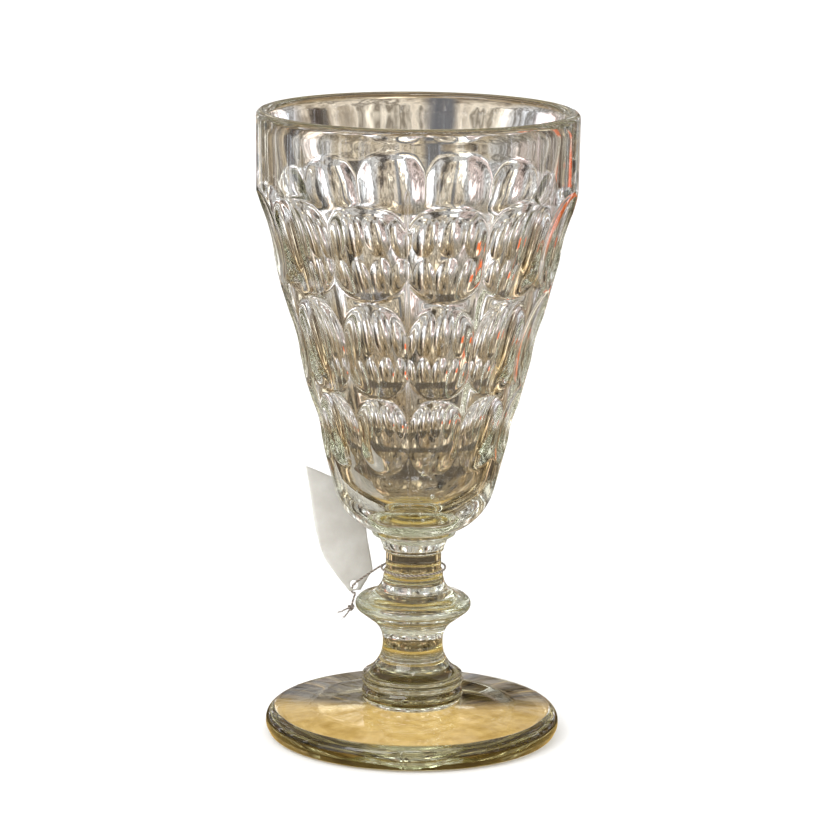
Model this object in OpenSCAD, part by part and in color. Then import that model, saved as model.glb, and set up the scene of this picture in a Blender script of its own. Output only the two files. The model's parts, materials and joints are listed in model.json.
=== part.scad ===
// Pressed glass goblet on a knopped stem, with a paper ticket tied round the stem.
// Millimetres. Z is up, and the origin is the centre of the foot's underside.

/* [Goblet] */
// Overall height, from the foot's underside to the top of the rim
height = 163; // [160:0.5:168]
// Outer radius of the plain band under the rim
rim_r = 41.2; // [40.9:0.1:42]
// Thickness of the glass at the rim, which its round top edge takes up
rim_wall = 3.5; // [3:0.1:4]

/* [Bowl] */
// Outer radius where the band ends and the taper starts
shoulder_r = 41; // [40.6:0.1:41.2]
// Height of that shoulder
shoulder_z = 142; // [140:0.5:144]
// How much the outer radius shrinks for each millimetre down
taper = 0.264; // [0.25:0.002:0.28]
// Thickness of the uncut glass, measured level
bowl_wall = 4.9; // [4.6:0.1:5.4]
// Height of the inside's lowest point
inner_floor_z = 60; // [59:0.5:62]

/* [Ovals] */
// Number of hollow ovals round the bowl in each row
oval_count = 12; // [12:1:12]
// Depth of an oval at its middle
oval_depth = 2.2; // [1.6:0.1:2.4]
// Turn of the first boundary between ovals, clockwise from the front
seam_turn = 3.5; // [0:0.5:10]

/* [Stem] */
// Radius of the upper stem
upper_stem_r = 7.2; // [6.8:0.1:7.5]
// Smallest radius of the lower stem
lower_stem_r = 7.8; // [7.4:0.1:8]
// Radius of the knop's edge
knop_r = 15; // [14.6:0.1:15.4]
// Height of the knop's edge
knop_z = 34.25; // [34:0.05:34.5]

/* [Foot] */
// Radius of the foot
foot_r = 38.2; // [36:0.1:40]
// Height of the foot's round top edge
foot_edge_z = 6.4; // [6:0.1:6.6]
// Height of the hollow under the foot, at its middle
foot_hollow = 3.2; // [1:0.1:3.6]
// Radius of the ring that the stem stands on
base_ring_r = 13.2; // [13:0.1:13.5]

/* [Ticket] */
// Width of the paper ticket
ticket_w = 14.8; // [12:0.1:15]
// Length of the ticket from the string hole to its highest corner
ticket_l = 32.4; // [30:0.2:34]
// Thickness of the paper
ticket_t = 0.3; // [0.25:0.05:0.4]
// Lean of the standing ticket away from upright
ticket_lean = 18; // [17:0.5:22]
// Thickness of the thread
thread_d = 0.6; // [0.5:0.1:0.7]

/* [Hidden] */
$fn = 96;
over = 0.5;

// Heights where one section of the goblet meets the next.
foot_top_z = 8;
base_ring_top_z = 14.8;
lower_stem_top_z = 30.3;
knop_top_z = 38.2;
upper_stem_top_z = 48.4;
collar_top_z = 54;

// Bowl.
rim_round = rim_wall / 2;
rim_round_z = height - rim_round;
taper_angle = atan(taper);
under_round = 16;
under_tangent_z = 65;
floor_round = 13;
under_centre = tangent_centre(under_tangent_z, 0, under_round);
floor_tangent_z = inner_floor_z + floor_round * (1 - sin(taper_angle));
floor_centre = tangent_centre(floor_tangent_z, bowl_wall, floor_round);
band_inner_r = rim_r - rim_wall;

// Ovals, in rows from the top. Each row: middle height, half height, half width, half length
// of the straight part.
oval_rows = [
    [135, 14.7, 10.8, 5.2],
    [106.2, 12.0, 8.75, 4.2],
    [83.6, 9.4, 7.1, 3.3]
];
oval_pitch = 360 / oval_count;

// Stem.
knop_edge_round = 1.85;
knop_fillet = 6.4;
stem_ring_r = 7.7;
stem_ring_z = 43.2;
knop_under_fillet = 7;
waist_low_z = 23.8;
waist_high_z = 24.4;
base_flare = 9;

// Foot.
foot_edge_round = 3.2;
foot_corner_round = 1.2;
foot_hollow_r = 33;

// Ticket and thread. The ticket swings on the thread at hinge_at, about the level line that is
// turned by hinge_turn from the X axis.
hinge_at = [-15.5, 5.2, 37.6];
hinge_turn = 30;
hole_r = 1.2;
hole_margin = 1.6;
wrap_r = 2.3;
loop_z = 43.7;
loop_r = stem_ring_r + thread_d / 2 + 0.15;
loop_gap = 0.05;
knot_at = [-16.2, 4.6, 31.6];
knot_r = 0.75;
tail_d = 0.4;
upper_tail = [[-17.6, 3.6, 31.3], [-19.4, 2.4, 30.6]];
lower_tail = [[-17, 3.2, 30.6], [-18.2, 1.8, 29.2]];

// Directions at the ticket: along the hinge line, level outwards from the goblet, and square
// to the standing paper on its outer side.
hinge_line = [cos(hinge_turn), sin(hinge_turn), 0];
outwards = [-sin(hinge_turn), cos(hinge_turn), 0];
paper_normal = cos(ticket_lean) * outwards - sin(ticket_lean) * [0, 0, 1];

// Radius of the bowl's uncut outer surface at height z on the taper.
function taper_r(z) = shoulder_r - taper * (shoulder_z - z);

// Centre of a circle of radius r that touches the line `inset` inside the taper at height z.
function tangent_centre(z, inset, r) = [
    taper_r(z) - inset - r * cos(taper_angle),
    z + r * sin(taper_angle)
];

// A point at radius wrap_r from the hinge line, at an angle from straight up towards the
// outside of the goblet.
function round_hinge(angle) =
    hinge_at + wrap_r * (sin(angle) * outwards + cos(angle) * [0, 0, 1]);

function unit(v) = v / norm(v);

// Direction of the route at its i-th point.
function along(route, i) = unit(
    unit(route[min(i + 1, len(route) - 1)] - route[min(i, len(route) - 2)])
    + unit(route[max(i, 1)] - route[max(i - 1, 0)])
);

// One ring of points round the route's i-th point, square to the route there.
function strand_ring(route, i, d, sides) =
    let (
        forward = along(route, i),
        side = unit(hinge_line - (hinge_line * forward) * forward),
        top = cross(forward, side)
    )
    [for (k = [0 : sides - 1])
        route[i] + d / 2 * (cos(360 * k / sides) * side + sin(360 * k / sides) * top)];

// The solid between two heights made by turning the child outline about the Z axis.
module turned() {
    rotate_extrude($fn = 128) children();
}

// A thread of diameter d along a route, as one closed tube with flat ends.
module strand(route, d) {
    sides = 8;
    rings = len(route);
    points = [for (i = [0 : rings - 1]) each strand_ring(route, i, d, sides)];
    walls = [
        for (i = [0 : rings - 2], k = [0 : sides - 1])
            let (next = (k + 1) % sides)
            [
                i * sides + k, i * sides + next,
                (i + 1) * sides + next, (i + 1) * sides + k
            ]
    ];
    first_cap = [for (k = [sides - 1 : -1 : 0]) k];
    last_cap = [for (k = [0 : sides - 1]) (rings - 1) * sides + k];
    polyhedron(points, concat(walls, [first_cap, last_cap]));
}

// Half of the bowl's outline with its ovals still uncut.
module bowl_outline() {
    difference() {
        union() {
            // Band, and the taper under it.
            polygon([
                [0, under_tangent_z],
                [taper_r(under_tangent_z), under_tangent_z],
                [shoulder_r, shoulder_z],
                [rim_r, rim_round_z],
                [0, rim_round_z]
            ]);
            // Round underside, ending on the collar.
            intersection() {
                translate(under_centre) circle(r = under_round, $fn = 180);
                translate([0, collar_top_z])
                    square([rim_r, under_tangent_z - collar_top_z]);
            }
        }
        // Round floor of the inside.
        intersection() {
            translate(floor_centre) circle(r = floor_round, $fn = 180);
            translate([floor_centre.x, inner_floor_z])
                square([rim_r, floor_tangent_z - inner_floor_z]);
        }
        // The rest of the inside, up to the rim.
        polygon([
            [-over, floor_centre.y - floor_round],
            [floor_centre.x, floor_centre.y - floor_round],
            [floor_centre.x, floor_tangent_z],
            [taper_r(floor_tangent_z) - bowl_wall, floor_tangent_z],
            [shoulder_r - bowl_wall, shoulder_z],
            [band_inner_r, rim_round_z],
            [band_inner_r, height + over],
            [-over, height + over]
        ]);
    }
    translate([rim_r - rim_round, rim_round_z]) circle(r = rim_round, $fn = 48);
}

// The sector of the bowl that one oval may take up, between two heights.
module oval_sector(low_z, high_z) {
    inner = 15;
    outer = 60;
    spread = tan(oval_pitch / 2);
    translate([0, 0, low_z])
        linear_extrude(high_z - low_z)
            polygon([
                [inner, -inner * spread], [outer, -outer * spread],
                [outer, outer * spread], [inner, inner * spread]
            ]);
}

// The round tool that leaves one hollow oval, standing on the Z axis.
module oval_cutter(half_height, half_width, straight, wall_r) {
    cutter_r = pow(half_width, 2) / (2 * oval_depth - pow(half_width, 2) / wall_r);
    end_r = (pow(half_height - straight, 2) + pow(oval_depth, 2)) / (2 * oval_depth);
    translate([cutter_r - oval_depth, 0, 0])
        rotate_extrude($fn = 180)
            intersection() {
                union() {
                    translate([0, -straight]) square([cutter_r, 2 * straight]);
                    for (side = [-1, 1])
                        translate([cutter_r - end_r, side * straight])
                            circle(r = end_r, $fn = 180);
                }
                translate([0, -half_height - over])
                    square([cutter_r + over, 2 * (half_height + over)]);
            }
}

module bowl() {
    color("lightgray", 0.5)
        difference() {
            turned() bowl_outline();
            for (row = oval_rows)
                for (column = [0 : oval_count - 1])
                    rotate([0, 0, -90 - seam_turn + (column + 0.5) * oval_pitch])
                        intersection() {
                            oval_sector(row[0] - row[1] - 2, row[0] + row[1] + 2);
                            translate([taper_r(row[0]), 0, row[0]])
                                rotate([0, taper_angle, 0])
                                    oval_cutter(row[1], row[2], row[3], taper_r(row[0]));
                        }
        }
}

module collar() {
    color("honeydew", 0.5)
        turned()
            polygon([
                [0, upper_stem_top_z], [7.5, upper_stem_top_z],
                [7.85, 48.8], [7.85, 49.4],
                [8.4, 50.6], [8.7, 51.6],
                [9.9, 52.6], [10.6, 52.9],
                [10.9, 53.3], [10.5, collar_top_z],
                [0, collar_top_z]
            ]);
}

module upper_stem() {
    fillet_z = knop_z + knop_edge_round + knop_fillet;
    color("lightgray", 0.5)
        turned() {
            translate([0, stem_ring_z])
                square([upper_stem_r, upper_stem_top_z - stem_ring_z]);
            translate([0, fillet_z])
                square([stem_ring_r, stem_ring_z - fillet_z]);
            difference() {
                translate([0, knop_top_z])
                    square([stem_ring_r + knop_fillet, fillet_z - knop_top_z]);
                translate([stem_ring_r + knop_fillet, fillet_z])
                    circle(r = knop_fillet, $fn = 128);
            }
        }
}

module knop() {
    edge_x = knop_r - knop_edge_round;
    fillet_z = knop_z + knop_edge_round + knop_fillet;
    color("khaki", 0.5)
        turned() {
            translate([edge_x, knop_z]) circle(r = knop_edge_round, $fn = 64);
            polygon([
                [0, lower_stem_top_z], [11.03, lower_stem_top_z],
                [edge_x + 1.15, knop_z - 1.45],
                [edge_x, knop_z + knop_edge_round],
                [0, knop_z + knop_edge_round]
            ]);
            difference() {
                translate([0, knop_z])
                    square([edge_x, knop_top_z - knop_z]);
                translate([stem_ring_r + knop_fillet, fillet_z])
                    circle(r = knop_fillet, $fn = 128);
            }
        }
}

module lower_stem() {
    color("lightgray", 0.5)
        turned()
            difference() {
                translate([0, base_ring_top_z])
                    square([12.9, lower_stem_top_z - base_ring_top_z]);
                translate([lower_stem_r + base_flare, waist_low_z])
                    circle(r = base_flare, $fn = 128);
                translate([lower_stem_r + knop_under_fillet, waist_high_z])
                    circle(r = knop_under_fillet, $fn = 128);
                translate([lower_stem_r, waist_low_z])
                    square([base_flare, waist_high_z - waist_low_z]);
                translate([11.03, waist_high_z])
                    square([base_flare, lower_stem_top_z]);
            }
}

module base_ring() {
    bulge_round = 3;
    bulge_z = 10.4;
    lip_round = 0.9;
    color("honeydew", 0.5)
        turned() {
            intersection() {
                translate([base_ring_r - bulge_round, bulge_z])
                    circle(r = bulge_round, $fn = 64);
                translate([0, foot_top_z])
                    square([base_ring_r, base_ring_top_z - foot_top_z]);
            }
            translate([0, foot_top_z])
                square([base_ring_r - bulge_round + 1.8, base_ring_top_z - foot_top_z]);
            translate([0, base_ring_top_z - 2 * lip_round])
                square([base_ring_r - lip_round, 2 * lip_round]);
            translate([base_ring_r - lip_round, base_ring_top_z - lip_round])
                circle(r = lip_round, $fn = 48);
        }
}

module foot() {
    color("darkkhaki", 0.5)
        turned() {
            polygon([
                [0, foot_hollow],
                [foot_hollow_r, 0],
                [foot_r - foot_corner_round, 0],
                [foot_r, foot_corner_round],
                [foot_r, foot_edge_z - foot_edge_round],
                [foot_r - foot_edge_round, foot_edge_z],
                [base_ring_r + 0.4, foot_top_z],
                [0, foot_top_z]
            ]);
            translate([foot_r - foot_corner_round, foot_corner_round])
                circle(r = foot_corner_round, $fn = 48);
            translate([foot_r - foot_edge_round, foot_edge_z - foot_edge_round])
                circle(r = foot_edge_round, $fn = 64);
        }
}

module thread_loop() {
    color("lightsteelblue")
        rotate_extrude($fn = 96)
            translate([loop_r, loop_z]) circle(d = thread_d, $fn = 24);
}

module thread_leader() {
    from_stem = unit([hinge_at.x, hinge_at.y, 0]);
    start = (loop_r + thread_d / 2 + loop_gap) * from_stem + [0, 0, loop_z];
    color("lightsteelblue")
        strand([
            start,
            start + 0.8 * from_stem - [0, 0, 0.5],
            (start + hinge_at) / 2,
            hinge_at - 1.1 * paper_normal + [0, 0, 0.5],
            hinge_at - 0.5 * paper_normal,
            hinge_at
        ], thread_d);
}

// From the hole out over the ticket's lower end, round it at wrap_r, and down to the knot.
module thread_wrap() {
    last = round_hinge(195);
    color("lightsteelblue")
        strand([
            hinge_at,
            hinge_at + 0.5 * paper_normal,
            round_hinge(150), round_hinge(172), last,
            (last + knot_at) / 2,
            knot_at + (knot_r + loop_gap) * unit(last - knot_at)
        ], thread_d);
}

module thread_knot() {
    color("lightsteelblue") translate(knot_at) sphere(r = knot_r, $fn = 32);
}

// One cut end of the thread, from just off the knot through a bend to its tip.
module tail(route) {
    color("lightsteelblue")
        strand([
            knot_at + (knot_r + loop_gap) * unit(route[0] - knot_at),
            route[0],
            route[1]
        ], tail_d);
}

module thread_tail_upper() {
    tail(upper_tail);
}

module thread_tail_lower() {
    tail(lower_tail);
}

// The ticket in its own plane: the hinge is at the origin, and Y runs up the paper.
module ticket_outline() {
    right = 6.1;
    left = right - ticket_w;
    difference() {
        polygon([
            [left + 0.5, ticket_l], [right, ticket_l - 8],
            [right, 3.2], [hole_margin + 0.1, -hole_margin],
            [-hole_margin, -hole_margin], [left + 4.3, 2.6],
            [left + 1.5, 7.4], [left + 0.5, 10.6],
            [left, 15.5], [left + 0.1, 22]
        ]);
        circle(r = hole_r, $fn = 48);
    }
}

module ticket() {
    color("whitesmoke")
        translate(hinge_at)
            rotate([0, 0, hinge_turn])
                rotate([90 - ticket_lean, 0, 0])
                    translate([0, 0, -ticket_t / 2])
                        linear_extrude(ticket_t) ticket_outline();
}

bowl();
collar();
upper_stem();
knop();
lower_stem();
base_ring();
foot();
thread_loop();
thread_leader();
thread_wrap();
thread_knot();
thread_tail_upper();
thread_tail_lower();
ticket();
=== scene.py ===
"""Pressed glass goblet with a paper ticket tied round its stem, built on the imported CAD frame."""

import json
import math

import bpy
import numpy as np
from mathutils import Matrix, Vector
from mathutils.geometry import delaunay_2d_cdt


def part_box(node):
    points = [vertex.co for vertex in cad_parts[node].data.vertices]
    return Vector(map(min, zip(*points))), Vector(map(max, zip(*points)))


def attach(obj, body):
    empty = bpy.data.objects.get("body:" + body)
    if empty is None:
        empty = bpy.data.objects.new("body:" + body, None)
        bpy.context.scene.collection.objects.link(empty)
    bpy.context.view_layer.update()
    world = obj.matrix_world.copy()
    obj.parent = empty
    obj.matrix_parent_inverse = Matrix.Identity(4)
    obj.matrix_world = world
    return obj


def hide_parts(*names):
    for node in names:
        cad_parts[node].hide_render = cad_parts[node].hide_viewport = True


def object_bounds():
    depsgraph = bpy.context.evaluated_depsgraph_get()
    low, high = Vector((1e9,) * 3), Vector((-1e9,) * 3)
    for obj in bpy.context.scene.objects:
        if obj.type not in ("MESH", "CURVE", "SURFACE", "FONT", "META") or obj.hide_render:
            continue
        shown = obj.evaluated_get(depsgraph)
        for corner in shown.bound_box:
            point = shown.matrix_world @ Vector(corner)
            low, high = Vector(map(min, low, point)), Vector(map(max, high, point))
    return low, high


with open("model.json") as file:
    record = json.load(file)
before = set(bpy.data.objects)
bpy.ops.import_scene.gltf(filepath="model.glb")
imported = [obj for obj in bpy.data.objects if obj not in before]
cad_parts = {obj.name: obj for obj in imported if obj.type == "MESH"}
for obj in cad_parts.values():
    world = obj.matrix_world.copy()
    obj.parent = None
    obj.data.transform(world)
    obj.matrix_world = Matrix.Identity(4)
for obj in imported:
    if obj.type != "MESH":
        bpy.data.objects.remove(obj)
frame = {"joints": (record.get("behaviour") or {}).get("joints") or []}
cad_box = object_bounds()

MM = 0.001

# Goblet, in millimetres. Heights where its sections meet come from the CAD nodes' boxes.
RIM_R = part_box("bowl")[1].x / MM
RIM_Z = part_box("bowl")[1].z / MM
BOWL_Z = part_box("bowl")[0].z / MM
COLLAR_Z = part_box("collar")[0].z / MM
KNOP_TOP_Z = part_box("knop")[1].z / MM
KNOP_LOW_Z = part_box("knop")[0].z / MM
BASE_RING_TOP_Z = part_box("base_ring")[1].z / MM
FOOT_TOP_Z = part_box("foot")[1].z / MM
FOOT_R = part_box("foot")[1].x / MM
RIM_WALL = 3.5
SHOULDER_R, SHOULDER_Z = 41.0, 142.0
TAPER = 0.264
BOWL_WALL = 4.9
UNDER_ROUND, UNDER_Z = 16.0, 65.0
FLOOR_ROUND, FLOOR_Z = 13.0, 60.0
OVALS_LOW_Z, OVALS_MIDDLE_Z = 73, 120
BAND_Z = 150.5
BAND_STEP = 0.08
RELIEF_SPACING = 0.78
NECK_R = 7.2
NECK_CURVE, NECK_CURVE_R = (14.1, 42.5), 6.4
KNOP_LOW_R = 11.03
FOOT_HOLLOW, FOOT_HOLLOW_R = 3.2, 33.0

# Ovals round the bowl, from the top row down: middle height, half height, half width. A higher
# bluntness squares their ends, a higher flatness levels their middles, and the end slope says
# how fast they fade out above the shoulder.
OVAL_ROWS = ((132.4, 13.4, 11.0), (106.2, 12.8, 8.9), (83.6, 10.1, 7.25))
OVAL_COUNT = 12
OVAL_DEPTH = 2.3
OVAL_BLUNTNESS = 2.15
OVAL_FLATNESS = 1.15
RIDGE_ROUND = 0.42
OVAL_EDGE_ROUND = 0.3
OVAL_END_SLOPE = 1.4

# Seams left by the three parts of the mould. The first is a little to the left of the front.
FIRST_SEAM = math.radians(-93.5)
SEAM_COUNT = 3
SEAM_HEIGHT, SEAM_WIDTH = 0.13, 0.22
SEAM_COLUMNS, SEAM_CROWDING = 72, 0.8
OVAL_COLUMNS, OVAL_CROWDING = 40, 0.6

# Seeds (gas bubbles) in the glass: turn from the first seam in degrees, height, depth under
# the outer surface, radius and stretch.
SEEDS = (
    (9.0, 73.5, 2.2, 0.42, 1.3), (15.0, 72.0, 2.6, 0.3, 1.0), (17.0, 67.3, 2.4, 0.55, 1.1),
    (8.5, 62.5, 2.2, 0.5, 1.0), (11.0, 60.8, 2.0, 0.42, 1.2), (23.0, 65.0, 2.4, 0.32, 1.5),
    (-14.0, 70.5, 2.0, 0.28, 1.4), (141.0, 97.0, 2.4, 0.35, 1.6), (222.0, 112.0, 2.2, 0.3, 1.8),
)

# Thread and ticket. The ticket hangs from its hinge, and leans outwards.
SWING = next(j for j in frame["joints"] if j["name"] == "ticket_swing")
HINGE = Vector(SWING["pos_m"]) / MM
HINGE_LINE = -Vector(SWING["axis"]).normalized()
OUTWARDS = Vector((-HINGE_LINE.y, HINGE_LINE.x, 0.0))
LEAN = math.radians(18.0)
PAPER_UP = math.cos(LEAN) * Vector((0, 0, 1)) + math.sin(LEAN) * OUTWARDS
PAPER_OUT = math.cos(LEAN) * OUTWARDS - math.sin(LEAN) * Vector((0, 0, 1))
HOLE_R = 1.2
PAPER_THICK = 0.22
LOOP_Z = next(j for j in frame["joints"] if j["name"] == "thread_turn")["pos_m"][2] / MM
LOOP_R = 8.15
THREAD_D = 0.6
PATH_STEP = 0.08
WRAP_R = 2.3
KNOT = Vector((-16.2, 4.6, 31.6))
UPPER_TAIL = ((-17.6, 3.6, 31.3), (-19.4, 2.4, 30.6))
LOWER_TAIL = ((-17.0, 3.2, 30.6), (-18.2, 1.8, 29.2))


# ---- Outlines -------------------------------------------------------------------------------

def arc(centre, radius, start, end, steps):
    """Points of a circle from one angle to another, in degrees, both ends included."""
    turns = np.radians(np.linspace(start, end, steps + 1))
    return [(centre[0] + radius * math.cos(t), centre[1] + radius * math.sin(t)) for t in turns]


def finely(outline, step):
    """The outline with points added, so that neighbours are no more than step apart."""
    points = [outline[0]]
    for a, b in zip(outline, outline[1:]):
        length = math.dist(a, b)
        if length < 1e-6:
            continue
        count = max(1, math.ceil(length / step))
        points += [
            (a[0] + (b[0] - a[0]) * k / count, a[1] + (b[1] - a[1]) * k / count)
            for k in range(1, count + 1)
        ]
    return points


def rounded(corners, radius, steps=5):
    """The open outline with each inner corner turned into a small curve."""
    points = [corners[0]]
    for before, corner, after in zip(corners, corners[1:], corners[2:]):
        a, b, c = (Vector(p) for p in (before, corner, after))
        reach = min(radius, (a - b).length / 2.05, (c - b).length / 2.05)
        start = b + (a - b).normalized() * reach
        end = b + (c - b).normalized() * reach
        for k in range(steps + 1):
            t = k / steps
            p = start * (1 - t) ** 2 + b * 2 * t * (1 - t) + end * t ** 2
            points.append((p.x, p.y))
    return points + [corners[-1]]


def taper_r(z):
    """Radius of the bowl's uncut outer surface on the taper."""
    return SHOULDER_R - TAPER * (SHOULDER_Z - z)


# ---- Turned glass ---------------------------------------------------------------------------

def columns(per_part, parts, crowding):
    """Angles round the axis, crowded together at the borders between the parts."""
    t = np.arange(per_part) / per_part
    warped = t - crowding * np.sin(2 * np.pi * t) / (2 * np.pi)
    part = 2 * np.pi / parts
    return np.concatenate([FIRST_SEAM + part * (k + warped) for k in range(parts)])


def seams(r, turns):
    """Height of the mould seams on a surface of radius r, at each angle."""
    part = 2 * np.pi / SEAM_COUNT
    off = (turns - FIRST_SEAM + part / 2) % part - part / 2
    return SEAM_HEIGHT * np.exp(-((off * r / SEAM_WIDTH) ** 2))


def smooth_max(a, b, blend):
    """The larger of a and b, rounded over where they're within blend of each other."""
    near = np.maximum(blend - np.abs(a - b), 0)
    return np.maximum(a, b) + near ** 2 / (4 * blend)


def oval_depth(r, z, turns):
    """How deep the pressed ovals lie under the uncut surface."""
    pitch = 2 * np.pi / OVAL_COUNT
    off = np.abs((turns - FIRST_SEAM) % pitch - pitch / 2)
    depth = np.zeros(np.broadcast(r, z, turns).shape)
    for middle_z, half_height, half_width in OVAL_ROWS:
        ends = np.abs((z - middle_z) / half_height) ** OVAL_BLUNTNESS
        own = hollow((off * r / half_width) ** 2 + ends)
        neighbour = hollow(((pitch - off) * r / half_width) ** 2 + ends)
        both = smooth_max(own, neighbour, RIDGE_ROUND)
        depth = np.maximum(depth, both)
    return depth


def hollow(out):
    """Depth of an oval, whose out is 0 at its middle and 1 at its edge: a flattish dish."""
    return OVAL_DEPTH * (1 - out ** OVAL_FLATNESS)


def build(name, vertices, faces, smooth, slots):
    """A mesh object from points in millimetres."""
    mesh = bpy.data.meshes.new(name)
    mesh.from_pydata((np.asarray(vertices) * MM).tolist(), [], faces)
    mesh.polygons.foreach_set("use_smooth", smooth)
    mesh.polygons.foreach_set("material_index", slots)
    mesh.update()
    piece = bpy.data.objects.new(name, mesh)
    bpy.context.scene.collection.objects.link(piece)
    return piece


def turn(name, outline, turns, relief, joins, seeds=()):
    """A closed mesh made by turning an outline of (r, z) points about the Z axis.

    The outline runs from the lower end up the outside. relief(r, z, turns) says how far each
    point moves outwards. joins says whether the lower and the upper end are the hidden faces
    where this section runs on into the next; those faces use the second material.
    """
    r, z = (np.array(v, float)[:, None] for v in zip(*outline))
    turns = turns[None, :]
    rings, count = len(outline), turns.shape[1]
    radius = r + relief(r, z, turns)
    height = z + 0 * radius
    points = np.stack([radius * np.cos(turns), radius * np.sin(turns), height], -1)
    vertices = points.reshape(-1, 3).tolist()
    vertices += [(0, 0, float(z[0, 0])), (0, 0, float(z[-1, 0]))]
    low, high = rings * count, rings * count + 1
    faces, smooth, slots = [], [], []
    for i in range(rings - 1):
        for j in range(count):
            k = (j + 1) % count
            faces.append((i * count + j, i * count + k, (i + 1) * count + k, (i + 1) * count + j))
    smooth += [True] * len(faces)
    slots += [0] * len(faces)
    last = (rings - 1) * count
    for centre, ring, join, flip in ((low, 0, joins[0], True), (high, last, joins[1], False)):
        for j in range(count):
            a, b = ring + j, ring + (j + 1) % count
            faces.append((centre, b, a) if flip else (centre, a, b))
        smooth += [not join] * count
        slots += [int(join)] * count
    for turn_by, seed_z, depth, seed_r, stretch in seeds:
        add_seed(vertices, faces, turn_by, seed_z, depth, seed_r, stretch)
    smooth += [True] * (len(faces) - len(smooth))
    slots += [0] * (len(faces) - len(slots))
    return build(name, vertices, faces, smooth, slots)


def add_seed(vertices, faces, turn_by, seed_z, depth, seed_r, stretch):
    """Adds a gas bubble: a small closed egg whose faces look into it, away from the glass."""
    angle = FIRST_SEAM + math.radians(turn_by)
    r = under_r(seed_z) if seed_z < UNDER_Z else taper_r(seed_z)
    centre = Vector(((r - depth) * math.cos(angle), (r - depth) * math.sin(angle), seed_z))
    sides, rows = 12, 8
    first = len(vertices)
    for i in range(1, rows):
        low = math.pi * i / rows
        for k in range(sides):
            a = 2 * math.pi * k / sides
            vertices.append(tuple(centre + seed_r * Vector((
                math.sin(low) * math.cos(a), math.sin(low) * math.sin(a),
                -stretch * math.cos(low)))))
    vertices.append(tuple(centre - Vector((0, 0, seed_r * stretch))))
    vertices.append(tuple(centre + Vector((0, 0, seed_r * stretch))))
    bottom, top = len(vertices) - 2, len(vertices) - 1
    for i in range(rows - 2):
        for k in range(sides):
            n = (k + 1) % sides
            a, b = first + i * sides, first + (i + 1) * sides
            faces.append((a + k, b + k, b + n, a + n))
    last = first + (rows - 2) * sides
    for k in range(sides):
        n = (k + 1) % sides
        faces.append((bottom, first + k, first + n))
        faces.append((top, last + n, last + k))


def under_centre():
    tilt = math.atan(TAPER)
    return (taper_r(UNDER_Z) - UNDER_ROUND * math.cos(tilt),
            UNDER_Z + UNDER_ROUND * math.sin(tilt))


def under_r(z):
    """Radius of the bowl's round underside."""
    centre = under_centre()
    return centre[0] + math.sqrt(UNDER_ROUND ** 2 - (centre[1] - z) ** 2)


def bowl_outline():
    """From the collar out round the underside, up the outside, over the rim and down inside."""
    tilt = math.atan(TAPER)
    degrees = math.degrees(tilt)
    centre = under_centre()
    start = -math.degrees(math.asin((centre[1] - BOWL_Z) / UNDER_ROUND))
    rim_round = RIM_WALL / 2
    rim_z = RIM_Z - rim_round
    points = arc(centre, UNDER_ROUND, start, -degrees, 16)
    ovals_low = (taper_r(OVALS_LOW_Z), OVALS_LOW_Z)
    ovals_middle = (taper_r(OVALS_MIDDLE_Z), OVALS_MIDDLE_Z)
    shoulder, band = (SHOULDER_R, SHOULDER_Z), (SHOULDER_R + BAND_STEP, BAND_Z)
    points += finely([(taper_r(UNDER_Z), UNDER_Z), ovals_low], 1.2)[1:]
    points += finely([ovals_low, ovals_middle], RELIEF_SPACING)[1:]
    points += finely([ovals_middle, shoulder], RELIEF_SPACING)[1:]
    points += finely([shoulder, band], 0.8)[1:]
    points += finely([band, (RIM_R, rim_z)], 2.2)[1:]
    points += arc((RIM_R - rim_round, rim_z), rim_round, 0, 180, 9)[1:]
    floor_tangent = FLOOR_Z + FLOOR_ROUND * (1 - math.sin(tilt))
    floor_r = taper_r(floor_tangent) - BOWL_WALL
    floor_centre = (floor_r - FLOOR_ROUND * math.cos(tilt), FLOOR_Z + FLOOR_ROUND)
    inside = [(RIM_R - RIM_WALL, rim_z), (SHOULDER_R - BOWL_WALL, SHOULDER_Z)]
    points += finely(inside, 4)[1:]
    points += finely([inside[-1], (floor_r, floor_tangent)], 5)[1:]
    points += arc(floor_centre, FLOOR_ROUND, -degrees, -90, 9)[1:]
    return points + [(2.2, FLOOR_Z)]


def collar_outline():
    corners = [(NECK_R, COLLAR_Z), (7.5, 48.5), (7.85, 48.8), (7.85, 49.5), (8.4, 50.6),
               (8.75, 51.7), (9.9, 52.5), (10.7, 52.9), (10.9, 53.4), (10.49, BOWL_Z)]
    return finely(rounded(corners, 0.3), 0.2)


def neck_angle():
    """Where the knop's top lies on the hollow curve that runs from the knop into the stem."""
    return math.degrees(math.asin((KNOP_TOP_Z - NECK_CURVE[1]) / NECK_CURVE_R))


def upper_stem_outline():
    start = neck_angle()
    points = arc(NECK_CURVE, NECK_CURVE_R, -180 - start, -180, 10)
    corners = [points[-1], (7.7, 43.2), (7.25, 43.6), (NECK_R, 44.2), (NECK_R, COLLAR_Z)]
    return finely(points + rounded(corners, 0.35)[1:], 0.35)


def knop_outline():
    edge, edge_round = (13.15, 34.25), 1.85
    flank = [(KNOP_LOW_R, KNOP_LOW_Z), (14.25, 32.75)]
    points = finely(flank, 0.4) + arc(edge, edge_round, -50, 75, 16)
    return points + arc(NECK_CURVE, NECK_CURVE_R, -92, -180 - neck_angle(), 12)


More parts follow.
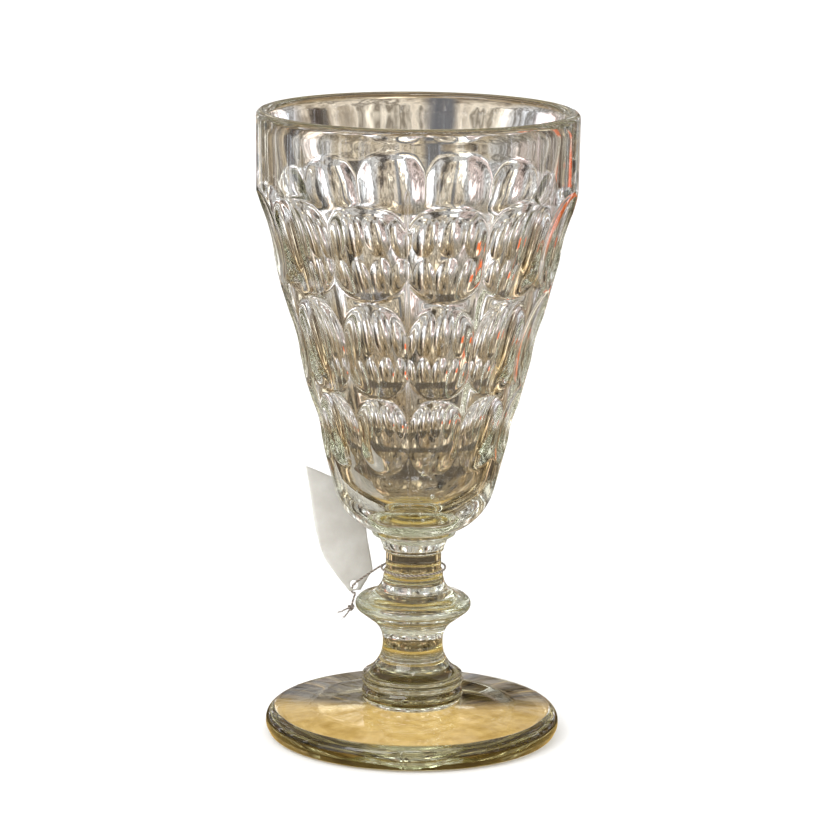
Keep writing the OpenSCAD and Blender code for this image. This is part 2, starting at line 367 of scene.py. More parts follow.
def lower_stem_outline():
    flare, flare_round = (16.8, 23.8), 9.0
    under, under_round = (14.8, 24.4), 7.0
    foot = [(12.45, BASE_RING_TOP_Z), (12.8, 15.0), (12.92, 15.4)]
    start = 180 + math.degrees(math.asin((flare[1] - 15.7) / flare_round))
    end = 180 - math.degrees(math.asin((KNOP_LOW_Z - under[1]) / under_round))
    points = rounded(foot, 0.3) + arc(flare, flare_round, start, 180, 18)
    points += arc(under, under_round, 180, end, 16)
    return finely(points[:-1] + [(KNOP_LOW_R, KNOP_LOW_Z)], 0.4)


def base_ring_outline():
    bulge, bulge_round = (10.2, 10.4), 3.0
    start = math.degrees(math.asin((FOOT_TOP_Z - bulge[1]) / bulge_round))
    points = arc(bulge, bulge_round, start, 40, 14)
    points += rounded([points[-1], (12.25, 12.85), (12.75, 13.1)], 0.3)[1:]
    lip = (12.3, 13.9)
    return finely(points + arc(lip, 0.9, -40, 80, 12), 0.3)


def foot_outline():
    """From the middle of the underside out, round the edge and in over the top."""
    corner, edge = 1.2, 3.2
    top_edge = 6.4
    inner, near_rest = 2.0, FOOT_HOLLOW_R - 0.6
    rest = FOOT_R - corner - 0.6
    slope = FOOT_HOLLOW / FOOT_HOLLOW_R
    points = finely([(inner, FOOT_HOLLOW - inner * slope), (near_rest, 0.6 * slope)], 3)
    points += finely([(FOOT_HOLLOW_R + 0.2, 0.0), (rest, 0.0)], 3)
    points += arc((rest, corner), corner, -90, -25, 6)[1:]
    points += rounded([points[-1], (FOOT_R, 2.2), (FOOT_R, top_edge - edge)], 1.0)[1:]
    points += arc((FOOT_R - edge, top_edge - edge), edge, 0, 87, 14)[1:]
    points += finely([points[-1], (26.0, 7.35), (17.0, 7.85), (13.4, FOOT_TOP_Z)], 1.5)[1:]
    return points + [(12.0, FOOT_TOP_Z)]


def no_seam(r, z, turns):
    return 0 * r * z * turns


def outer_seams(r, z, turns):
    return seams(r, turns) * np.ones_like(z)


def bowl_relief(r, z, turns):
    """Ovals and seams, on the outer surface alone."""
    outer = np.where(z < UNDER_Z, r > 8, r > taper_r(z) - 1.2) & (z < RIM_Z - 2.5) & (z > BOWL_Z)
    band_outer = np.where(z > SHOULDER_Z, r > SHOULDER_R - 1, outer)
    inner_floor = (z >= FLOOR_Z) & (z < UNDER_Z) & (r < under_inner_r(z))
    outside = band_outer & outer & ~inner_floor
    past_taper = np.maximum(OVAL_END_SLOPE * TAPER * (z - SHOULDER_Z), 0)
    cut = smooth_max(oval_depth(r, z, turns) - past_taper, 0, OVAL_EDGE_ROUND)
    return np.where(outside, seams(r, turns) - cut, 0)


def under_inner_r(z):
    """A radius midway between the bowl's round underside and its inner floor."""
    centre = under_centre()
    drop = np.clip(centre[1] - z, -UNDER_ROUND, UNDER_ROUND)
    return centre[0] + np.sqrt(UNDER_ROUND ** 2 - drop ** 2) - 1.0


def foot_relief(r, z, turns):
    return np.where((r > 30) & (z > 0.3), seams(r, turns), 0)


def make_glass():
    """The goblet's seven sections, each standing for the CAD node of its name."""
    fine = columns(SEAM_COLUMNS, SEAM_COUNT, SEAM_CROWDING)
    oval_columns = columns(OVAL_COLUMNS, OVAL_COUNT, OVAL_CROWDING)
    sections = {
        "bowl": (bowl_outline(), oval_columns, bowl_relief, (True, False), SEEDS),
        "collar": (collar_outline(), fine, outer_seams, (True, True), ()),
        "upper_stem": (upper_stem_outline(), fine, outer_seams, (True, True), ()),
        "knop": (knop_outline(), fine, outer_seams, (True, True), ()),
        "lower_stem": (lower_stem_outline(), fine, outer_seams, (True, True), ()),
        "base_ring": (base_ring_outline(), fine, no_seam, (True, True), ()),
        "foot": (foot_outline(), fine, foot_relief, (False, True), ()),
    }
    materials = {
        "bowl": glass_material("bowl_glass", BOWL_ABSORBS),
        "collar": glass_material("stem_glass", STEM_ABSORBS),
        "foot": glass_material("foot_glass", FOOT_ABSORBS),
    }
    join = join_material()
    for name, (outline, turns, relief, joins, seeds) in sections.items():
        piece = turn(name + "_glass", outline, turns, relief, joins, seeds)
        piece.data.materials.append(materials.get(name, materials["collar"]))
        piece.data.materials.append(join)
        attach(piece, "goblet")
        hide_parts(name)


# ---- Materials ------------------------------------------------------------------------------

# How strongly red, green and blue fade per metre of glass, and what is lost at the surface.
BOWL_ABSORBS = (6.0, 5.6, 8.0)
STEM_ABSORBS = (6.5, 4.8, 9.0)
FOOT_ABSORBS = (15.5, 17.0, 28.0)
SURFACE_TINT = (0.965, 0.962, 0.948)
GLASS_IOR = 1.52

PAPER_STAINED, PAPER_CLEAN = (0.84, 0.82, 0.77), (0.95, 0.94, 0.90)
DARK_PLY = ((0.07, 0.052, 0.04), (0.20, 0.155, 0.12))
PALE_PLY = ((0.34, 0.28, 0.23), (0.58, 0.51, 0.44))


def new_material(name):
    material = bpy.data.materials.new(name)
    material.use_nodes = True
    tree = material.node_tree
    tree.nodes.clear()
    return material, tree.nodes, tree.links


def add(nodes, kind, **values):
    """A new node with some of its settings and input values."""
    node = nodes.new(kind)
    for key, value in values.items():
        if key in node.inputs:
            node.inputs[key].default_value = value
        else:
            setattr(node, key, value)
    return node


def shade_ramp(nodes, stops):
    """A colour ramp through (position, colour) stops."""
    node = nodes.new("ShaderNodeValToRGB")
    ramp = node.color_ramp
    while len(ramp.elements) < len(stops):
        ramp.elements.new(0.5)
    for element, (position, colour) in zip(ramp.elements, stops):
        element.position = position
        element.color = (*colour, 1)
    return node


def glass_material(name, absorbed):
    """Clear pressed glass, darker where light runs further in it, with slight surface waves."""
    material, nodes, links = new_material(name)
    out = nodes.new("ShaderNodeOutputMaterial")
    glass = add(nodes, "ShaderNodeBsdfGlass", IOR=GLASS_IOR, Roughness=0.0)
    links.new(glass.outputs["BSDF"], out.inputs["Surface"])

    path = nodes.new("ShaderNodeLightPath")
    colour = nodes.new("ShaderNodeCombineColor")
    for channel, rate in zip(("Red", "Green", "Blue"), absorbed):
        lost = add(nodes, "ShaderNodeMath", operation="MULTIPLY")
        lost.inputs[1].default_value = -rate
        passed = add(nodes, "ShaderNodeMath", operation="EXPONENT")
        links.new(path.outputs["Ray Length"], lost.inputs[0])
        links.new(lost.outputs[0], passed.inputs[0])
        links.new(passed.outputs[0], colour.inputs[channel])
    side = nodes.new("ShaderNodeNewGeometry")
    tint = add(nodes, "ShaderNodeMix", data_type="RGBA")
    tint.inputs["A"].default_value = (*SURFACE_TINT, 1)
    links.new(side.outputs["Backfacing"], tint.inputs["Factor"])
    links.new(colour.outputs["Color"], tint.inputs["B"])
    links.new(tint.outputs["Result"], glass.inputs["Color"])

    where = nodes.new("ShaderNodeTexCoord")
    waves = add(nodes, "ShaderNodeTexNoise", Scale=70.0, Detail=1.0, Roughness=0.4)
    links.new(where.outputs["Object"], waves.inputs["Vector"])
    bump = add(nodes, "ShaderNodeBump", Strength=0.15, Distance=0.0004)
    links.new(waves.outputs["Fac"], bump.inputs["Height"])
    links.new(bump.outputs["Normal"], glass.inputs["Normal"])
    return material


def join_material():
    """For the faces inside the glass where one section runs on into the next."""
    material, nodes, links = new_material("inside_glass")
    out = nodes.new("ShaderNodeOutputMaterial")
    clear = nodes.new("ShaderNodeBsdfTransparent")
    links.new(clear.outputs["BSDF"], out.inputs["Surface"])
    return material


def paper_material():
    """Off-white ticket paper, with fibres, faint stains and a slight see-through glow."""
    material, nodes, links = new_material("ticket_paper")
    out = nodes.new("ShaderNodeOutputMaterial")
    paper = add(nodes, "ShaderNodeBsdfPrincipled", Roughness=0.85)
    paper.inputs["Specular IOR Level"].default_value = 0.25
    where = nodes.new("ShaderNodeTexCoord")
    stains = add(nodes, "ShaderNodeTexNoise", Scale=160.0, Detail=4.0, Roughness=0.55)
    fibres = add(nodes, "ShaderNodeTexNoise", Scale=2600.0, Detail=6.0, Roughness=0.7)
    for noise in (stains, fibres):
        links.new(where.outputs["Object"], noise.inputs["Vector"])
    tone = shade_ramp(nodes, ((0.35, PAPER_STAINED), (0.65, PAPER_CLEAN)))
    links.new(stains.outputs["Fac"], tone.inputs["Fac"])
    fleck = add(nodes, "ShaderNodeMix", data_type="RGBA", blend_type="MULTIPLY")
    fleck.inputs["Factor"].default_value = 0.15
    links.new(tone.outputs["Color"], fleck.inputs["A"])
    links.new(fibres.outputs["Color"], fleck.inputs["B"])
    links.new(fleck.outputs["Result"], paper.inputs["Base Color"])
    bump = add(nodes, "ShaderNodeBump", Strength=0.35, Distance=0.00008)
    links.new(fibres.outputs["Fac"], bump.inputs["Height"])
    links.new(bump.outputs["Normal"], paper.inputs["Normal"])
    glow = nodes.new("ShaderNodeBsdfTranslucent")
    links.new(fleck.outputs["Result"], glow.inputs["Color"])
    mix = add(nodes, "ShaderNodeMixShader")
    mix.inputs["Fac"].default_value = 0.2
    links.new(paper.outputs["BSDF"], mix.inputs[1])
    links.new(glow.outputs["BSDF"], mix.inputs[2])
    links.new(mix.outputs["Shader"], out.inputs["Surface"])
    return material


def thread_material(name, dark, light):
    """Cotton thread: fibres along each ply, in two near shades."""
    material, nodes, links = new_material(name)
    out = nodes.new("ShaderNodeOutputMaterial")
    cotton = add(nodes, "ShaderNodeBsdfPrincipled", Roughness=0.9)
    cotton.inputs["Sheen Weight"].default_value = 0.4
    cotton.inputs["Sheen Roughness"].default_value = 0.5
    where = nodes.new("ShaderNodeTexCoord")
    fibres = add(nodes, "ShaderNodeTexNoise", Scale=7000.0, Detail=4.0, Roughness=0.65)
    links.new(where.outputs["Object"], fibres.inputs["Vector"])
    tone = shade_ramp(nodes, ((0.3, dark), (0.7, light)))
    links.new(fibres.outputs["Fac"], tone.inputs["Fac"])
    links.new(tone.outputs["Color"], cotton.inputs["Base Color"])
    bump = add(nodes, "ShaderNodeBump", Strength=0.6, Distance=0.00005)
    links.new(fibres.outputs["Fac"], bump.inputs["Height"])
    links.new(bump.outputs["Normal"], cotton.inputs["Normal"])
    links.new(cotton.outputs["BSDF"], out.inputs["Surface"])
    return material


# ---- Thread ---------------------------------------------------------------------------------

def curve_through(points, step):
    """Evenly close points on a smooth curve through the given ones."""
    points = [Vector(p) for p in points]
    padded = [2 * points[0] - points[1]] + points + [2 * points[-1] - points[-2]]
    path = []
    for a, b, c, d in zip(padded, padded[1:], padded[2:], padded[3:]):
        count = max(2, math.ceil((c - b).length / step))
        for k in range(count):
            t = k / count
            path.append(0.5 * (2 * b + (c - a) * t + (2 * a - 5 * b + 4 * c - d) * t ** 2
                               + (3 * b - a - 3 * c + d) * t ** 3))
    return path + [points[-1]]


def frames(path, closed=False):
    """Directions along and across a path, turning as little as possible."""
    count = len(path)
    along = []
    for i in range(count):
        after = path[(i + 1) % count] if closed else path[min(i + 1, count - 1)]
        before = path[i - 1] if closed else path[max(i - 1, 0)]
        along.append((after - before).normalized())
    side = along[0].orthogonal().normalized()
    result = []
    for direction in along:
        side = (side - side.dot(direction) * direction).normalized()
        result.append((direction, side, direction.cross(side)))
    return result


def tube(vertices, faces, path, radius, closed=False, sides=7):
    """Adds a closed tube along a path. radius is a number, or a function of the way along."""
    first = len(vertices)
    count = len(path)
    for i, (point, (_, side, up)) in enumerate(zip(path, frames(path, closed))):
        size = radius(i / max(count - 1, 1)) if callable(radius) else radius
        for k in range(sides):
            a = 2 * math.pi * k / sides
            vertices.append(tuple(point + size * (math.cos(a) * side + math.sin(a) * up)))
    for i in range(count if closed else count - 1):
        for k in range(sides):
            n = (k + 1) % sides
            here, there = first + i * sides, first + ((i + 1) % count) * sides
            faces.append((here + k, here + n, there + n, there + k))
    if not closed:
        faces.append(tuple(first + k for k in reversed(range(sides))))
        faces.append(tuple(first + (count - 1) * sides + k for k in range(sides)))


def ply_path(path, offset, pitch, phase, closed=False):
    """The path of one ply, winding round the thread's own path."""
    length = 0.0
    lengths = [0.0]
    for a, b in zip(path, path[1:]):
        length += (b - a).length
        lengths.append(length)
    total = length + ((path[0] - path[-1]).length if closed else 0)
    winds = max(1, round(total / pitch))
    result = []
    for point, run, (_, side, up) in zip(path, lengths, frames(path, closed)):
        a = phase + 2 * math.pi * winds * run / total
        result.append(point + offset * (math.cos(a) * side + math.sin(a) * up))
    return result


def thread_piece(name, path, materials, closed=False, diameter=THREAD_D):
    """A piece of two-ply thread along a path, with a dark and a pale ply."""
    vertices, faces, slots = [], [], []
    for ply in range(2):
        wound = ply_path(path, diameter * 0.24, diameter * 2.0, math.pi * ply, closed)
        tube(vertices, faces, wound, diameter * 0.26, closed)
        slots += [ply] * (len(faces) - len(slots))
    return finish_thread(name, vertices, faces, slots, materials)


def finish_thread(name, vertices, faces, slots, materials):
    piece = build(name, vertices, faces, [True] * len(faces), slots)
    for material in materials:
        piece.data.materials.append(material)
    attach(piece, "thread")
    return piece


def round_hinge(angle):
    """A point at the wrap's radius round the hinge, at an angle from straight up outwards."""
    a = math.radians(angle)
    return HINGE + WRAP_R * (math.sin(a) * OUTWARDS + math.cos(a) * Vector((0, 0, 1)))


def loop_path():
    """The ring round the stem, with the small waves of a loosely tied thread."""
    turns = np.linspace(0, 2 * math.pi, 420, endpoint=False)
    path = []
    for t in turns:
        r = LOOP_R + 0.12 + 0.1 * math.sin(3 * t)
        z = LOOP_Z + 0.22 * math.sin(t + 0.6) + 0.08 * math.sin(4 * t)
        path.append(Vector((r * math.cos(t), r * math.sin(t), z)))
    return path


def leader_path():
    from_stem = Vector((HINGE.x, HINGE.y, 0)).normalized()
    start = (LOOP_R + 0.2) * from_stem + Vector((0, 0, LOOP_Z))
    clear = start + 0.8 * from_stem - Vector((0, 0, 0.5))
    middle = (start + HINGE) / 2 + Vector((0, 0, 0.2))
    return curve_through([
        start, clear, middle, HINGE - 1.1 * PAPER_OUT + Vector((0, 0, 0.5)),
        HINGE - 0.5 * PAPER_OUT, HINGE
    ], PATH_STEP)


def wrap_path():
    last = round_hinge(195)
    return curve_through([
        HINGE, HINGE + 0.5 * PAPER_OUT, round_hinge(150), round_hinge(172), last,
        (last + KNOT) / 2, KNOT
    ], PATH_STEP)


def make_knot(materials):
    """A tight overhand knot."""
    path = []
    count = 120
    for k in range(count):
        t = 2 * math.pi * k / count
        path.append(KNOT + 0.27 * Vector((
            math.sin(t) + 2 * math.sin(2 * t), -math.sin(3 * t) * 1.3,
            math.cos(t) - 2 * math.cos(2 * t))))
    piece = thread_piece("thread_knot_cotton", path, materials, closed=True, diameter=0.5)
    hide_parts("thread_knot")


def make_tail(name, node, bends, materials, seed):
    """A cut end of the thread, with its fibres fanned out at the tip."""
    rng = np.random.default_rng(seed)
    bend, tip = (Vector(p) for p in bends)
    path = curve_through([KNOT, bend, (bend + tip) / 2], PATH_STEP)
    vertices, faces, slots = [], [], []
    for ply in range(2):
        wound = ply_path(path, 0.11, 0.9, math.pi * ply)
        tube(vertices, faces, wound, lambda t: 0.15 - 0.04 * t)
        slots += [ply] * (len(faces) - len(slots))
    start = path[-3]
    heading = (tip - start).normalized()
    for _ in range(11):
        spread = Vector(rng.normal(0, 1, 3)) * 0.34
        end = start + heading * (tip - start).length * rng.uniform(0.7, 1.25) + spread
        middle = (start + end) / 2 + Vector(rng.normal(0, 1, 3)) * 0.12
        tube(vertices, faces, curve_through([start, middle, end], 0.15), 0.035, sides=5)
        slots += [int(rng.integers(0, 2))] * (len(faces) - len(slots))
    piece = finish_thread(name, vertices, faces, slots, materials)
    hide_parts(node)


def make_thread():
    materials = [thread_material("thread_dark", *DARK_PLY),
                 thread_material("thread_pale", *PALE_PLY)]
    loop = thread_piece("thread_loop_cotton", loop_path(), materials, closed=True)
    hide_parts("thread_loop")
    leader = thread_piece("thread_leader_cotton", leader_path(), materials)
    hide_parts("thread_leader")
    wrap = thread_piece("thread_wrap_cotton", wrap_path(), materials)
    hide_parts("thread_wrap")
    make_knot(materials)
    make_tail("thread_tail_upper_cotton", "thread_tail_upper", UPPER_TAIL, materials, 3)
    make_tail("thread_tail_lower_cotton", "thread_tail_lower", LOWER_TAIL, materials, 8)


# ---- Ticket ---------------------------------------------------------------------------------

# Corners of the paper, in its own plane: along the hinge line, and up the paper.
TICKET_CORNERS = (
    (-8.2, 32.4), (6.1, 24.4), (6.1, 3.2), (1.7, -1.6), (-1.6, -1.6), (-4.4, 2.6), (-7.2, 7.4),
    (-8.2, 10.6), (-8.7, 15.5), (-8.6, 22.0),
)


TICKET_LEFT, TICKET_WIDTH, TICKET_HEIGHT = -8.7, 14.8, 32
TICKET_SPACING = 0.7


def paper_bend(across, up):
    """How far the slightly curled paper stands off its plane, outwards."""
    free = max(up, 0) / TICKET_HEIGHT
    side = (across - TICKET_LEFT) / TICKET_WIDTH
    return (1.5 * free ** 2 - 0.9 * math.sin(math.pi * side) * free
            + 0.12 * math.sin(up * 0.55 + across * 0.3) * min(1, free * 3))


def make_ticket():
    edge = finely(list(TICKET_CORNERS) + [TICKET_CORNERS[0]], TICKET_SPACING)[:-1]
    rng = np.random.default_rng(5)
    edge = [(x + rng.normal(0, 0.025), y + rng.normal(0, 0.025)) for x, y in edge]
    hole = arc((0, 0), HOLE_R, 0, 360, 32)[:-1]
    outline = np.array(edge)
    grid_x = np.arange(-8.5, 6.2, TICKET_SPACING)
    grid_y = np.arange(-1.5, 32.5, TICKET_SPACING)
    inside = [
        (x, y) for x in grid_x for y in grid_y
        if within(outline, x, y) and np.hypot(*(outline - (x, y)).T).min() > 0.35
        and math.hypot(x, y) > HOLE_R + 0.3
    ]
    points = [Vector(p) for p in edge + hole + inside]
    rim = [(k, (k + 1) % len(edge)) for k in range(len(edge))]
    bore = [(len(edge) + k, len(edge) + (k + 1) % len(hole)) for k in range(len(hole))]
    flat, _, triangles, *_ = delaunay_2d_cdt(points, rim + bore, [], 0, 1e-6)
    keep = []
    for t in triangles:
        x = sum(flat[i].x for i in t) / 3
        y = sum(flat[i].y for i in t) / 3
        if within(outline, x, y) and math.hypot(x, y) > HOLE_R * 0.98:
            keep.append(tuple(t))
    vertices = [
        tuple(HINGE + p.x * HINGE_LINE + p.y * PAPER_UP + paper_bend(p.x, p.y) * PAPER_OUT)
        for p in flat
    ]
    piece = build("ticket_slip", vertices, keep, [True] * len(keep), [0] * len(keep))
    solid = piece.modifiers.new("thickness", "SOLIDIFY")
    solid.thickness = PAPER_THICK * MM
    solid.offset = 0
    piece.data.materials.append(paper_material())
    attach(piece, "ticket")
    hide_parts("ticket")


def within(outline, x, y):
    """True if a point is inside a closed outline."""
    crossings = 0
    for (x1, y1), (x2, y2) in zip(outline, np.roll(outline, -1, axis=0)):
        if (y1 > y) != (y2 > y) and x < x1 + (y - y1) * (x2 - x1) / (y2 - y1):
            crossings += 1
    return crossings % 2 == 1


# ---- Studio ---------------------------------------------------------------------------------

def maths(nodes, links, operation, *values):
    """A Math node. The values are numbers or sockets."""
    node = add(nodes, "ShaderNodeMath", operation=operation)
    for socket, value in zip(node.inputs, values):
        if isinstance(value, (int, float)):
            socket.default_value = value
        else:
            links.new(value, socket)
    return node.outputs[0]


def smooth_step(nodes, links, value, low, high):
    node = add(nodes, "ShaderNodeMapRange", interpolation_type="SMOOTHSTEP")
    links.new(value, node.inputs["Value"])
    node.inputs["From Min"].default_value = low
    node.inputs["From Max"].default_value = high
    return node.outputs["Result"]


# Soft boxes and dark flags round the studio, which the glass bends and mirrors: direction in
# degrees (0 is the right, 90 the back), half width in degrees, lower and upper height (sine of
# elevation), softness, and colour.
CARDS = (
    (-150, 16, 0.05, 0.80, 0.10, (1.55, 1.5, 1.45)),
    (-40, 10, 0.10, 0.70, 0.08, (1.3, 1.28, 1.25)),
    (-93, 14, 0.88, 0.96, 0.03, (7.0, 7.0, 7.0)),
    (62, 3.5, -0.26, -0.19, 0.012, (1.4, 0.22, 0.03)),
    (89, 0.5, -0.17, 0.05, 0.007, (0.16, 0.16, 0.17)),
    (90, 40, -0.52, -0.38, 0.02, (0.09, 0.07, 0.05)),
)

# Shades of the room that the glass shows in stripes, against how far along the noise they come.
ROOM_SHADES = (
    (0.34, (0.01, 0.009, 0.008)), (0.41, (0.06, 0.05, 0.042)), (0.46, (0.34, 0.30, 0.25)),
    (0.50, (0.60, 0.56, 0.50)), (0.53, (0.16, 0.14, 0.115)), (0.57, (0.80, 0.76, 0.69)),
    (0.63, (2.3, 2.28, 2.2)),
)
# Tints laid over the shades, against a second, coarser noise.
ROOM_TINTS = (
    (0.36, (1.10, 0.98, 0.78)), (0.46, (1.0, 1.0, 1.0)), (0.56, (0.97, 1.0, 1.03)),
    (0.68, (1.12, 0.92, 0.88)),
)
# Overall brightness and warmth of the room, against the sine of the elevation.
ROOM_LEVELS = (
    (-0.90, (0.36, 0.29, 0.17)), (-0.45, (0.72, 0.59, 0.39)), (-0.22, (0.76, 0.68, 0.57)),
    (-0.17, (0.90, 0.87, 0.82)), (-0.12, (1.42, 1.50, 1.72)), (0.60, (1.05, 1.06, 1.08)),
)
# How fine the room's shapes are, and how much they change with height.
ROOM_SCALE = 8.0
ROOM_LIFT = 0.6
CEILING = (0.85, 0.83, 0.80)
BACKDROP = (1.14, 1.135, 1.125)
TABLE = (0.97, 0.97, 0.965)
# Painted golden ground: a glow, not lit by any lamp, that rays through the front of the foot see on
# the table.
PAINTED_GOLD_GLOW = ((0.35, (0.82, 0.53, 0.16)), (0.65, (1.14, 0.79, 0.29)))


def room_colour(nodes, links, direction):
    """The blurred shapes of a furnished room, by direction from the goblet."""
    parts = nodes.new("ShaderNodeSeparateXYZ")
    links.new(direction, parts.inputs[0])
    level = nodes.new("ShaderNodeCombineXYZ")
    links.new(parts.outputs["X"], level.inputs["X"])
    links.new(parts.outputs["Y"], level.inputs["Y"])
    round_it = add(nodes, "ShaderNodeVectorMath", operation="NORMALIZE")
    links.new(level.outputs[0], round_it.inputs[0])
    lift = nodes.new("ShaderNodeCombineXYZ")
    links.new(maths(nodes, links, "MULTIPLY", parts.outputs["Z"], ROOM_LIFT), lift.inputs["Z"])
    place = add(nodes, "ShaderNodeVectorMath", operation="ADD")
    links.new(round_it.outputs["Vector"], place.inputs[0])
    links.new(lift.outputs[0], place.inputs[1])
    shape = add(nodes, "ShaderNodeTexNoise", Scale=ROOM_SCALE, Detail=6.0, Roughness=0.66)
    hue = add(nodes, "ShaderNodeTexNoise", Scale=ROOM_SCALE * 0.7, Detail=1.0)
    links.new(place.outputs["Vector"], shape.inputs["Vector"])
    links.new(place.outputs["Vector"], hue.inputs["Vector"])
    shades, tints = shade_ramp(nodes, ROOM_SHADES), shade_ramp(nodes, ROOM_TINTS)
    links.new(shape.outputs["Fac"], shades.inputs["Fac"])
    links.new(hue.outputs["Fac"], tints.inputs["Fac"])
    tinted = add(nodes, "ShaderNodeMix", data_type="RGBA", blend_type="MULTIPLY")
    tinted.inputs["Factor"].default_value = 1.0
    links.new(shades.outputs["Color"], tinted.inputs["A"])
    links.new(tints.outputs["Color"], tinted.inputs["B"])
    low, high = ROOM_LEVELS[0][0], ROOM_LEVELS[-1][0]
    rise = add(nodes, "ShaderNodeMapRange")
    rise.inputs["From Min"].default_value = low
    rise.inputs["From Max"].default_value = high
    links.new(parts.outputs["Z"], rise.inputs["Value"])
    levels = shade_ramp(nodes, [((z - low) / (high - low), c) for z, c in ROOM_LEVELS])
    links.new(rise.outputs["Result"], levels.inputs["Fac"])
    levelled = add(nodes, "ShaderNodeMix", data_type="RGBA", blend_type="MULTIPLY")
    levelled.inputs["Factor"].default_value = 1.0
    links.new(tinted.outputs["Result"], levelled.inputs["A"])
    links.new(levels.outputs["Color"], levelled.inputs["B"])
    return levelled.outputs["Result"]


def plain_rays(nodes, links):
    """1 for rays that come straight from the eye or off a matt surface, and 0 for others."""
    path = nodes.new("ShaderNodeLightPath")
    return maths(nodes, links, "MAXIMUM", path.outputs["Is Camera Ray"],
                 path.outputs["Is Diffuse Ray"])


def with_cards(nodes, links, colour, parts):
    """The colour, with each card laid over it where it stands. parts is the direction."""
    rise = parts.outputs["Z"]
    turn_angle = maths(nodes, links, "ARCTAN2", parts.outputs["Y"], parts.outputs["X"])
    for direction, half_width, low, high, soft, shade in CARDS:
        off = maths(nodes, links, "SUBTRACT", turn_angle, math.radians(direction))
        off = maths(nodes, links, "WRAP", off, math.pi, -math.pi)
        off = maths(nodes, links, "ABSOLUTE", off)
        half = math.radians(half_width)
        side = smooth_step(nodes, links, off, half + soft, half - soft * 0.5)
        below = smooth_step(nodes, links, rise, low - soft, low + soft)
        above = smooth_step(nodes, links, rise, high + soft, high - soft)
        mask = maths(nodes, links, "MULTIPLY", maths(nodes, links, "MULTIPLY", side, below), above)
        card = add(nodes, "ShaderNodeMix", data_type="RGBA")
        links.new(mask, card.inputs["Factor"])
        links.new(colour, card.inputs["A"])
        card.inputs["B"].default_value = (*shade, 1)
        colour = card.outputs["Result"]
    return colour


def make_world():
    """Plain white to the camera and to matt surfaces; glass sees a soft, warm studio."""
    world = bpy.data.worlds.new("studio")
    bpy.context.scene.world = world
    world.use_nodes = True
    nodes, links = world.node_tree.nodes, world.node_tree.links
    nodes.clear()
    where = nodes.new("ShaderNodeTexCoord")
    parts = nodes.new("ShaderNodeSeparateXYZ")
    links.new(where.outputs["Generated"], parts.inputs[0])
    rise = parts.outputs["Z"]
    height = add(nodes, "ShaderNodeMapRange")
    links.new(rise, height.inputs["Value"])
    height.inputs["From Min"].default_value = 0.5
    height.inputs["From Max"].default_value = 1.1
    room = add(nodes, "ShaderNodeMix", data_type="RGBA")
    links.new(height.outputs["Result"], room.inputs["Factor"])
    links.new(room_colour(nodes, links, where.outputs["Generated"]), room.inputs["A"])
    room.inputs["B"].default_value = (*CEILING, 1)
    colour = room.outputs["Result"]
    colour = with_cards(nodes, links, colour, parts)
    plain = plain_rays(nodes, links)
    seen = add(nodes, "ShaderNodeMix", data_type="RGBA")
    links.new(plain, seen.inputs["Factor"])
    links.new(colour, seen.inputs["A"])
    seen.inputs["B"].default_value = (*BACKDROP, 1)
    light = nodes.new("ShaderNodeBackground")
    links.new(seen.outputs["Result"], light.inputs["Color"])
    out = nodes.new("ShaderNodeOutputWorld")
    links.new(light.outputs["Background"], out.inputs["Surface"])


def floor_material():
    """A plain pale table to the camera and to matt surfaces. To rays through the glass it glows
    instead, though it is no lamp: painted warm gold near the foot, and farther off a painted grey
    room with its soft boxes.
    """
    material, nodes, links = new_material("pale_table_painted_glow")
    out = nodes.new("ShaderNodeOutputMaterial")
    pale = add(nodes, "ShaderNodeBsdfDiffuse")
    pale.inputs["Color"].default_value = (*TABLE, 1)
    where = nodes.new("ShaderNodeTexCoord")
    parts = nodes.new("ShaderNodeSeparateXYZ")
    links.new(where.outputs["Object"], parts.inputs[0])
    away = add(nodes, "ShaderNodeVectorMath", operation="LENGTH")
    links.new(where.outputs["Object"], away.inputs[0])
    from_bowl = add(nodes, "ShaderNodeVectorMath", operation="SUBTRACT")
    links.new(where.outputs["Object"], from_bowl.inputs[0])
    from_bowl.inputs[1].default_value = (0, 0, 0.1)
    direction = add(nodes, "ShaderNodeVectorMath", operation="NORMALIZE")
    links.new(from_bowl.outputs["Vector"], direction.inputs[0])
    near = smooth_step(nodes, links, away.outputs["Value"], 0.075, 0.045)
    front = smooth_step(nodes, links, parts.outputs["Y"], 0.016, 0.002)
    glow_through_glass = add(nodes, "ShaderNodeMix", data_type="RGBA")
    links.new(maths(nodes, links, "MULTIPLY", near, front), glow_through_glass.inputs["Factor"])
    room = room_colour(nodes, links, direction.outputs["Vector"])
    way = nodes.new("ShaderNodeSeparateXYZ")
    links.new(direction.outputs["Vector"], way.inputs[0])
    links.new(with_cards(nodes, links, room, way), glow_through_glass.inputs["A"])
    mottle = add(nodes, "ShaderNodeTexNoise", Scale=220.0, Detail=4.0, Roughness=0.6)
    links.new(where.outputs["Object"], mottle.inputs["Vector"])
    gold = shade_ramp(nodes, PAINTED_GOLD_GLOW)
    links.new(mottle.outputs["Fac"], gold.inputs["Fac"])
    links.new(gold.outputs["Color"], glow_through_glass.inputs["B"])
    # Painted glow: rays through the glass see this colour as light given off by the table, not lit
    # by any lamp.
    glow = nodes.new("ShaderNodeEmission")
    links.new(glow_through_glass.outputs["Result"], glow.inputs["Color"])
    plain = plain_rays(nodes, links)
    mix = nodes.new("ShaderNodeMixShader")
    links.new(plain, mix.inputs["Fac"])
    links.new(glow.outputs["Emission"], mix.inputs[1])
    links.new(pale.outputs["BSDF"], mix.inputs[2])
    links.new(mix.outputs["Shader"], out.inputs["Surface"])
    return material


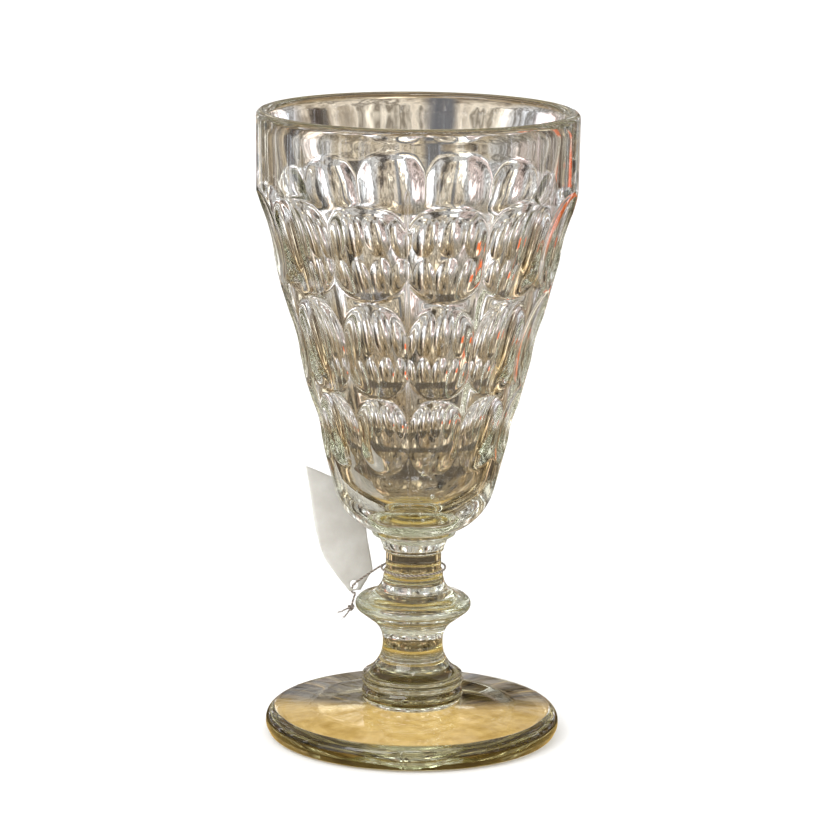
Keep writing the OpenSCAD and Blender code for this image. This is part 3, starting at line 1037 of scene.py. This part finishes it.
def make_floor():
    """A wide round table top, just under the foot."""
    mesh = bpy.data.meshes.new("table_top")
    rim = [(6 * math.cos(a), 6 * math.sin(a), 0.0) for a in np.linspace(0, 2 * math.pi, 65)[:-1]]
    mesh.from_pydata(rim, [], [tuple(range(len(rim)))])
    floor = bpy.data.objects.new("table_top", mesh)
    bpy.context.scene.collection.objects.link(floor)
    floor.location.z = cad_box[0].z - 0.0003
    mesh.materials.append(floor_material())


KEY_SIZE = (0.9, 0.6)
KEY_WATTS = 7.5
KEY_PLACE, KEY_AIM = (-0.7, -0.8, 1.1), (0, 0, 0.08)


def make_key_light():
    lamp = bpy.data.lights.new("soft_key", "AREA")
    lamp.shape = "RECTANGLE"
    lamp.size, lamp.size_y = KEY_SIZE
    lamp.energy = KEY_WATTS
    key = bpy.data.objects.new("soft_key", lamp)
    bpy.context.scene.collection.objects.link(key)
    key.location = KEY_PLACE
    aim = Vector(KEY_AIM) - key.location
    key.rotation_euler = aim.to_track_quat("-Z", "Y").to_euler()


# Camera, in front of the goblet and above its rim, looking a little down, and turned a touch
# about its own line of sight.
CAMERA_PLACE = Vector((-0.26, -912.4, 274.6)) * MM
CAMERA_DIP = 11.777
CAMERA_ROLL = 0.594
LENS_MM = 157.45


def make_camera():
    camera = bpy.data.objects.new("camera", bpy.data.cameras.new("camera"))
    bpy.context.scene.collection.objects.link(camera)
    camera.data.sensor_width = 36.0
    camera.data.lens = LENS_MM
    aim = Matrix.Rotation(math.radians(90 - CAMERA_DIP), 4, "X")
    roll = Matrix.Rotation(math.radians(CAMERA_ROLL), 4, "Z")
    camera.matrix_world = Matrix.Translation(CAMERA_PLACE) @ aim @ roll
    bpy.context.scene.camera = camera


def set_light_bounces():
    """Enough bounces for light that runs round inside thick glass."""
    cycles = bpy.context.scene.cycles
    cycles.max_bounces = 40
    cycles.transmission_bounces = 40
    cycles.glossy_bounces = 20
    cycles.transparent_max_bounces = 32
    bpy.context.scene.view_settings.view_transform = "Standard"


make_camera()
make_glass()
make_thread()
make_ticket()
make_floor()
make_world()
make_key_light()
set_light_bounces()
